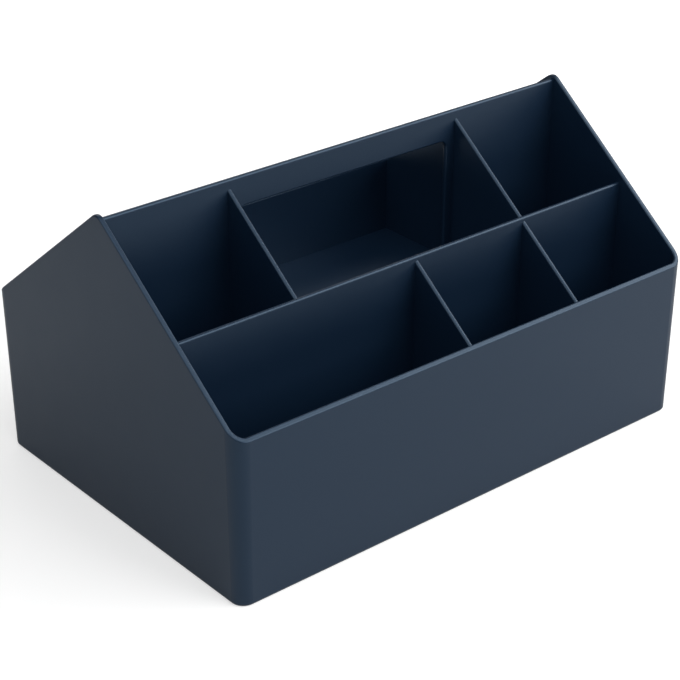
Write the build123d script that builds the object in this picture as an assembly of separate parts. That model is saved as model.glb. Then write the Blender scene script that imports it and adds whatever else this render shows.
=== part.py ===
from build123d import *
import os
from math import radians, tan

# Desk caddy shaped like a long gabled house, in one dark plastic. Millimetres.
# Origin: middle of the underside. +X runs along the ridge, -Y is the front row, +Z is up.

# Outer form
length = 330.0              # gable to gable outside, at the eaves
width = 225.0               # front to rear outside, at the eaves
eaves_height = 98.0         # outer edge of the long walls' rim
apex_height = 185.0         # where the two roof slopes would meet if the tip were sharp
draft = 0.6                 # degrees that every outer wall leans outwards
wall = 3.0                  # thickness of the outer walls
base_thickness = 3.0
corner_radius = 8.0         # outside of the upright corners
apex_radius = 6.0           # rounding of the gable tips
foot_radius = 2.0           # rounding where the walls meet the underside
rim_radius = 0.9            # rounding of the rim's inner and outer edges

# Inner walls
mid_wall_offset = 58.9      # from the ridge to the middle of each long partition
mid_wall_thickness = 2.8
mid_wall_drop = 6.8         # top of a long partition below the roof slope
ridge_wall_thickness = 3.0
ridge_drop = 3.7            # top of the ridge wall below the sharp apex
bay_divider_offset = 82.5   # from the middle to each cross wall beside the hand bay
divider_thickness = 2.7
divider_drop = 8.2          # top of every cross wall below the roof slope
crown_flat = 0.2            # flat left along the middle of each rounded top

# Handle and hand bay
handle_depth = 18.0         # height of the strip that is gripped
jamb_width = 6.0            # upright strip of ridge wall left beside each bay divider
opening_corner_radius = 4.0
grip_radius = 1.2           # rounding of the edges that the fingers touch
hand_floor_height = 86.0    # top of the raised floor under the handle
hand_floor_thickness = 2.8

roof_slope = (apex_height - eaves_height) / (width / 2)
mid_wall_top = apex_height - roof_slope * mid_wall_offset - mid_wall_drop
ridge_top = apex_height - ridge_drop
handle_underside = ridge_top - handle_depth
hand_bay_half_length = bay_divider_offset - divider_thickness / 2
hand_bay_half_width = mid_wall_offset - mid_wall_thickness / 2
opening_half_length = hand_bay_half_length - jamb_width
overshoot = 10.0            # how far cutting shapes run past what they cut


def roof_height(y):
    """Height of the sharp roof slope at the distance y from the ridge."""
    return apex_height - roof_slope * abs(y)


def leaning_block(inset, bottom, top, radius):
    """Block with rounded upright corners, inside the outer faces by inset, wider at its top."""
    lean = (bottom - eaves_height) * tan(radians(draft)) - inset
    outline = RectangleRounded(length + 2 * lean, width + 2 * lean, radius)
    return Pos(0, 0, bottom) * extrude(outline, amount=top - bottom, taper=-draft)


def house_prism():
    """Everything under the two roof slopes, with the tip rounded."""
    reach = width / 2 + overshoot
    gable = Polyline(
        (-reach, -overshoot), (-reach, roof_height(reach)), (0, apex_height),
        (reach, roof_height(reach)), (reach, -overshoot), close=True,
    )
    gable = fillet(make_face(gable).vertices().sort_by(Axis.Y)[-1], apex_radius)
    return extrude(Plane.YZ * gable, amount=length, both=True)


def room():
    """The space that the outer walls and the base enclose."""
    return leaning_block(wall, base_thickness, apex_height + overshoot, corner_radius - wall)


def rim_edges(shell):
    """The long edges on both sides of the rim, without the short ones that cross it."""
    faces = shell.faces().filter_by(lambda f: f.center().Z > eaves_height and f.normal_at().Z > 0.5)
    edges = faces.edges()
    return ShapeList([e for e in edges if sum(e.is_same(other) for other in edges) == 1])


def outer_shell():
    block = leaning_block(0, 0, apex_height + overshoot, corner_radius)
    block = fillet(block.faces().sort_by(Axis.Z)[0].edges(), foot_radius)
    recess = Box(2 * hand_bay_half_length, 2 * hand_bay_half_width, 2 * base_thickness + overshoot)
    shell = (block & house_prism()) - room() - recess
    return fillet(rim_edges(shell), rim_radius)


def round_top(panel, thickness, along):
    """Rounds both long top edges of an upright panel that runs along an axis."""
    edges = panel.edges().filter_by(along).sort_by(Axis.Z)[-2:]
    return fillet(edges, (thickness - crown_flat) / 2)


def long_panel(y, thickness, top):
    """Full-length upright panel that stands on the base and meets both gables."""
    panel = Pos(0, y, base_thickness) * Box(
        length + overshoot, thickness, top - base_thickness,
        align=(Align.CENTER, Align.CENTER, Align.MIN),
    )
    return round_top(panel, thickness, Axis.X) & room()


def ridge_handle_wall():
    panel = long_panel(0, ridge_wall_thickness, ridge_top)
    cut_depth = ridge_wall_thickness + overshoot
    opening = Pos(0, 0, hand_floor_height) * Box(
        2 * opening_half_length, cut_depth, handle_underside - hand_floor_height,
        align=(Align.CENTER, Align.CENTER, Align.MIN),
    )
    opening = fillet(opening.edges().filter_by(Axis.Y).sort_by(Axis.Z)[-2:], opening_corner_radius)
    under_floor = Pos(0, 0, hand_floor_height) * Box(
        2 * hand_bay_half_length, cut_depth, hand_floor_height,
        align=(Align.CENTER, Align.CENTER, Align.MAX),
    )
    panel = panel - opening - under_floor
    grip_edges = panel.edges().filter_by(Axis.X).filter_by(
        lambda edge: abs(edge.center().Z - handle_underside) < crown_flat
    )
    return fillet(grip_edges, grip_radius)


def sloping_divider(x, y_start, y_end, neighbours):
    """Cross wall whose top follows the roof slope, trimmed to the walls that it runs into."""
    outline = Polyline(
        (y_start, base_thickness), (y_start, roof_height(y_start) - divider_drop),
        (y_end, roof_height(y_end) - divider_drop), (y_end, base_thickness), close=True,
    )
    panel = extrude(Plane.YZ * make_face(outline), amount=divider_thickness / 2, both=True)
    panel = (Pos(x, 0, 0) * panel) & room()
    top = panel.faces().sort_by(Axis.Z)[-1]
    panel = fillet(top.edges().sort_by(SortBy.LENGTH)[-2:], (divider_thickness - crown_flat) / 2)
    for neighbour in neighbours:
        panel -= neighbour
    return panel


def hand_bay_floor():
    return Pos(0, 0, hand_floor_height) * Box(
        2 * hand_bay_half_length, 2 * hand_bay_half_width, hand_floor_thickness,
        align=(Align.CENTER, Align.CENTER, Align.MAX),
    )


ridge = ridge_handle_wall()
front_mid = long_panel(-mid_wall_offset, mid_wall_thickness, mid_wall_top)
rear_mid = long_panel(mid_wall_offset, mid_wall_thickness, mid_wall_top)

parts = {
    "outer_shell": outer_shell(),
    "ridge_handle_wall": ridge,
    "front_mid_wall": front_mid,
    "rear_mid_wall": rear_mid,
    "hand_bay_floor": hand_bay_floor(),
}
for side, x in (("left", -bay_divider_offset), ("right", bay_divider_offset)):
    parts[f"{side}_bay_divider_front"] = sloping_divider(x, -mid_wall_offset, 0, (front_mid, ridge))
    parts[f"{side}_bay_divider_rear"] = sloping_divider(x, 0, mid_wall_offset, (rear_mid, ridge))
for place, x in (("centre", 0), ("right", bay_divider_offset)):
    parts[f"front_row_{place}_divider"] = sloping_divider(x, -width / 2, -mid_wall_offset, (front_mid,))

os.makedirs("parts", exist_ok=True)
for name, shape in parts.items():
    export_step(shape, f"parts/{name}.step")
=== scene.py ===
import bpy
from math import cos, pi, radians, sin
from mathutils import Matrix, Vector

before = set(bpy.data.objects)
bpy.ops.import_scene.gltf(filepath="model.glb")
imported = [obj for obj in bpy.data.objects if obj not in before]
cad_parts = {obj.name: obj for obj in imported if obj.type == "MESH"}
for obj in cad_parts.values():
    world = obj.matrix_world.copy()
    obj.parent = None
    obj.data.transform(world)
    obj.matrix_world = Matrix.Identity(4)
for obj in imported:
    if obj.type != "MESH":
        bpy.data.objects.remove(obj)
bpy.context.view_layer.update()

# Outer shell: base, two long walls and two gable ends in one injection moulding.
# Dark slate-blue polypropylene, coloured through, with a fine spark-eroded grain
# on the flats and a slightly burnished rim where hands pass over it.
PIGMENT = (0.0030, 0.0099, 0.0240, 1.0)          # the plastic's own colour
PIGMENT_STREAK = (0.0034, 0.0111, 0.0269, 1.0)   # where pigment is thinner along the flow
GLOSS_TINT = (0.54, 0.76, 1.0, 1.0)              # the skin's gloss takes on the pigment's hue
PLASTIC_IOR = 1.54
FLOW_SIZE = 0.16           # metres across one faint cloud of colour
FLOW_LAYERS = 3.0          # how many times finer clouds are laid over the faint ones
GRAIN_SIZE = 0.0007        # metres from one pit of the grain to the next
GRAIN_DEPTH = 0.00003      # metres from the top of the grain to the bottom of its pits
GRAIN_SHARPNESS = 0.5
GRAIN_LAYERS = 2.0         # how many times finer pits are laid over the main ones
SATIN = 0.38               # roughness of the grained flats
SATIN_SPREAD = 0.03        # how far scuffs take that roughness up or down
SCUFF_LAYERS = 4.0         # how many times finer scuffs are laid over the broad ones
BURNISHED = 0.34           # roughness of edges polished by handling
EDGE_REACH = 0.0012        # metres from an edge that handling polishes
EDGE_SAMPLES = 4           # rays that feel for an edge round each point
POLISHED_TURN = 0.75       # cosine of the turn between face and rounded edge, fully polished
FLAT_TURN = 0.98           # the same cosine where polishing ends and the flat begins


def caddy_plastic(name, flow_stretch, scuffs_per_metre):
    """Satin moulded plastic. flow_stretch draws the colour clouds out along x, y or z."""
    material = bpy.data.materials.new(name)
    material.use_nodes = True
    nodes, links = material.node_tree.nodes, material.node_tree.links
    plastic = nodes["Principled BSDF"]
    plastic.inputs["IOR"].default_value = PLASTIC_IOR
    plastic.inputs["Specular Tint"].default_value = GLOSS_TINT

    place = nodes.new("ShaderNodeTexCoord")
    stretched = nodes.new("ShaderNodeMapping")
    stretched.inputs["Scale"].default_value = flow_stretch
    links.new(place.outputs["Object"], stretched.inputs["Vector"])

    flow = nodes.new("ShaderNodeTexNoise")
    flow.inputs["Scale"].default_value = 1 / FLOW_SIZE
    flow.inputs["Detail"].default_value = FLOW_LAYERS
    links.new(stretched.outputs["Vector"], flow.inputs["Vector"])
    colour = nodes.new("ShaderNodeMix")
    colour.data_type = "RGBA"
    colour.inputs["A"].default_value = PIGMENT
    colour.inputs["B"].default_value = PIGMENT_STREAK
    links.new(flow.outputs["Fac"], colour.inputs["Factor"])
    links.new(colour.outputs["Result"], plastic.inputs["Base Color"])

    grain = nodes.new("ShaderNodeTexNoise")
    grain.inputs["Scale"].default_value = 1 / GRAIN_SIZE
    grain.inputs["Detail"].default_value = GRAIN_LAYERS
    links.new(place.outputs["Object"], grain.inputs["Vector"])
    pits = nodes.new("ShaderNodeBump")
    pits.inputs["Strength"].default_value = GRAIN_SHARPNESS
    pits.inputs["Distance"].default_value = GRAIN_DEPTH
    links.new(grain.outputs["Fac"], pits.inputs["Height"])
    links.new(pits.outputs["Normal"], plastic.inputs["Normal"])

    rounded = nodes.new("ShaderNodeBevel")
    rounded.samples = EDGE_SAMPLES
    rounded.inputs["Radius"].default_value = EDGE_REACH
    surface = nodes.new("ShaderNodeNewGeometry")
    agreement = nodes.new("ShaderNodeVectorMath")
    agreement.operation = "DOT_PRODUCT"
    links.new(rounded.outputs["Normal"], agreement.inputs[0])
    links.new(surface.outputs["Normal"], agreement.inputs[1])
    scuffs = nodes.new("ShaderNodeTexNoise")
    scuffs.inputs["Scale"].default_value = scuffs_per_metre
    scuffs.inputs["Detail"].default_value = SCUFF_LAYERS
    links.new(place.outputs["Object"], scuffs.inputs["Vector"])
    flat_polish = nodes.new("ShaderNodeMapRange")
    flat_polish.inputs["To Min"].default_value = SATIN - SATIN_SPREAD
    flat_polish.inputs["To Max"].default_value = SATIN + SATIN_SPREAD
    links.new(scuffs.outputs["Fac"], flat_polish.inputs["Value"])
    edge_polish = nodes.new("ShaderNodeMapRange")
    edge_polish.inputs["From Min"].default_value = POLISHED_TURN
    edge_polish.inputs["From Max"].default_value = FLAT_TURN
    edge_polish.inputs["To Min"].default_value = BURNISHED
    links.new(agreement.outputs["Value"], edge_polish.inputs["Value"])
    links.new(flat_polish.outputs["Result"], edge_polish.inputs["To Max"])
    links.new(edge_polish.outputs["Result"], plastic.inputs["Roughness"])
    return material


def dress(node, material):
    """Gives every face of a CAD node one finish."""
    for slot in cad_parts[node].material_slots:
        slot.material = material


dress("outer_shell", caddy_plastic(
    "shell_plastic", flow_stretch=(0.5, 0.5, 1.6), scuffs_per_metre=60.0))

# Ridge wall with the carrying handle: one upright wall along the ridge, moulded with the shell.
# Its middle is cut away to leave the strip that is gripped, whose lower edge is rounded.
dress("ridge_handle_wall", caddy_plastic(
    "ridge_plastic", flow_stretch=(0.4, 1.0, 1.4), scuffs_per_metre=70.0))

# Long partitions: two thin walls halfway down each roof slope, moulded from the base up
# and joined to both gables. They part the outer rows from the bays beside the ridge.
partition_plastic = caddy_plastic(
    "partition_plastic", flow_stretch=(0.4, 1.0, 1.4), scuffs_per_metre=80.0)
for node in ("front_mid_wall", "rear_mid_wall"):
    dress(node, partition_plastic)

# Raised floor of the hand bay: a shallow tray floor between the partitions, under the handle.
# It is part of the same moulding, open below.
dress("hand_bay_floor", caddy_plastic(
    "tray_floor_plastic", flow_stretch=(0.8, 0.8, 1.0), scuffs_per_metre=50.0))

# Cross walls: thin walls with tops that follow the roof slope. Four close off the hand bay
# and two part the front row. All are moulded in with the long walls.
cross_wall_plastic = caddy_plastic(
    "cross_wall_plastic", flow_stretch=(1.0, 0.6, 1.4), scuffs_per_metre=80.0)
for node in (
    "left_bay_divider_front", "left_bay_divider_rear", "right_bay_divider_front",
    "right_bay_divider_rear", "front_row_centre_divider", "front_row_right_divider",
):
    dress(node, cross_wall_plastic)

# Floor: a wide sheet of pale matt paper under the caddy, which takes its soft shadow.
# The paper glows to the camera alone, so that it looks white but sends the caddy no more light.
FLOOR_HALF = 6.0           # metres from the middle of the sheet to its edge
PAPER = (0.62, 0.62, 0.62, 1.0)
PAPER_ROUGHNESS = 0.95
PAPER_GLOSS = 0.0
PAPER_GLOW = 0.45          # strength of that glow beside the caddy
WHITE_GLOW = 1.0           # strength that the camera sees as plain white
WHITE = (1.0, 1.0, 1.0, 1.0)
SHADOW_REACH = 0.3         # metres from the middle, where the glow begins to rise
WHITE_REACH = 1.2          # metres from the middle, where the paper is plain white

sheet = bpy.data.meshes.new("studio_floor")
sheet.from_pydata(
    [(x * FLOOR_HALF, y * FLOOR_HALF, 0.0) for x, y in ((-1, -1), (1, -1), (1, 1), (-1, 1))],
    [], [(0, 1, 2, 3)],
)
floor = bpy.data.objects.new("studio_floor", sheet)
bpy.context.scene.collection.objects.link(floor)

paper = bpy.data.materials.new("pale_paper")
paper.use_nodes = True
nodes, links = paper.node_tree.nodes, paper.node_tree.links
fibre = nodes["Principled BSDF"]
fibre.inputs["Base Color"].default_value = PAPER
fibre.inputs["Roughness"].default_value = PAPER_ROUGHNESS
fibre.inputs["Specular IOR Level"].default_value = PAPER_GLOSS
place = nodes.new("ShaderNodeTexCoord")
distance = nodes.new("ShaderNodeVectorMath")
distance.operation = "LENGTH"
links.new(place.outputs["Object"], distance.inputs[0])
whiteness = nodes.new("ShaderNodeMapRange")
whiteness.interpolation_type = "SMOOTHSTEP"
whiteness.inputs["From Min"].default_value = SHADOW_REACH
whiteness.inputs["From Max"].default_value = WHITE_REACH
whiteness.inputs["To Min"].default_value = PAPER_GLOW
whiteness.inputs["To Max"].default_value = WHITE_GLOW
links.new(distance.outputs["Value"], whiteness.inputs["Value"])
ray = nodes.new("ShaderNodeLightPath")
seen = nodes.new("ShaderNodeMath")
seen.operation = "MULTIPLY"
links.new(whiteness.outputs["Result"], seen.inputs[0])
links.new(ray.outputs["Is Camera Ray"], seen.inputs[1])
fibre.inputs["Emission Color"].default_value = WHITE
links.new(seen.outputs["Value"], fibre.inputs["Emission Strength"])
sheet.materials.append(paper)

# Studio light: five wide soft boxes and a dim room. The two strongest stand before the long
# front wall and to its right, one hangs overhead towards the front left, and two weak ones
# fill the back and the left gable.
BOX_DISTANCE = 2.0         # metres from the caddy's middle to every box
CADDY_MIDDLE = Vector((0.0, 0.0, 0.08))


def soft_box(name, bearing, height_angle, size, brightness):
    """Square lamp aimed at the caddy. bearing runs from +X towards +Y, in degrees."""
    level, lift = radians(bearing), radians(height_angle)
    away = Vector((cos(level) * cos(lift), sin(level) * cos(lift), sin(lift)))
    lamp = bpy.data.lights.new(name, "AREA")
    lamp.shape = "SQUARE"
    lamp.size = size
    lamp.energy = brightness * pi * size * size
    stand = bpy.data.objects.new(name, lamp)
    stand.location = CADDY_MIDDLE + BOX_DISTANCE * away
    stand.rotation_mode = "QUATERNION"
    stand.rotation_quaternion = (-away).to_track_quat("-Z", "Y")
    bpy.context.scene.collection.objects.link(stand)


soft_box("front_box", bearing=-62.0, height_angle=32.0, size=1.5, brightness=4.0)
soft_box("right_box", bearing=-20.0, height_angle=32.0, size=1.6, brightness=3.3)
soft_box("back_box", bearing=65.0, height_angle=36.0, size=1.4, brightness=1.4)
soft_box("left_box", bearing=178.0, height_angle=32.0, size=1.4, brightness=1.1)
soft_box("overhead_box", bearing=-130.0, height_angle=58.0, size=2.2, brightness=1.8)

ROOM_GLOW = 0.06           # the room's own light on the caddy; the camera sees it white
world = bpy.data.worlds.new("studio")
bpy.context.scene.world = world
world.use_nodes = True
nodes, links = world.node_tree.nodes, world.node_tree.links
glow = nodes["Background"]
ray = nodes.new("ShaderNodeLightPath")
room_level = nodes.new("ShaderNodeMapRange")
room_level.inputs["To Min"].default_value = ROOM_GLOW
room_level.inputs["To Max"].default_value = WHITE_GLOW
links.new(ray.outputs["Is Camera Ray"], room_level.inputs["Value"])
links.new(room_level.outputs["Result"], glow.inputs["Strength"])
glow.inputs["Color"].default_value = WHITE

# Camera: off the front left corner and above the ridge, looking down with a level horizon.
# It stands where the walls hide each other as they do in the photograph.
STANDPOINT = Vector((-0.6282, -0.7443, 0.5642))
AIM = Vector((0.0, 0.0053, 0.0549))
LENS = 98.95               # millimetres, as is the sensor's width
SENSOR_WIDTH = 36.0

lens = bpy.data.cameras.new("camera")
lens.lens = LENS
lens.sensor_width = SENSOR_WIDTH
camera = bpy.data.objects.new("camera", lens)
camera.location = STANDPOINT
camera.rotation_mode = "QUATERNION"
camera.rotation_quaternion = (AIM - STANDPOINT).to_track_quat("-Z", "Y")
bpy.context.scene.collection.objects.link(camera)
bpy.context.scene.camera = camera
bpy.context.scene.view_settings.view_transform = "Standard"
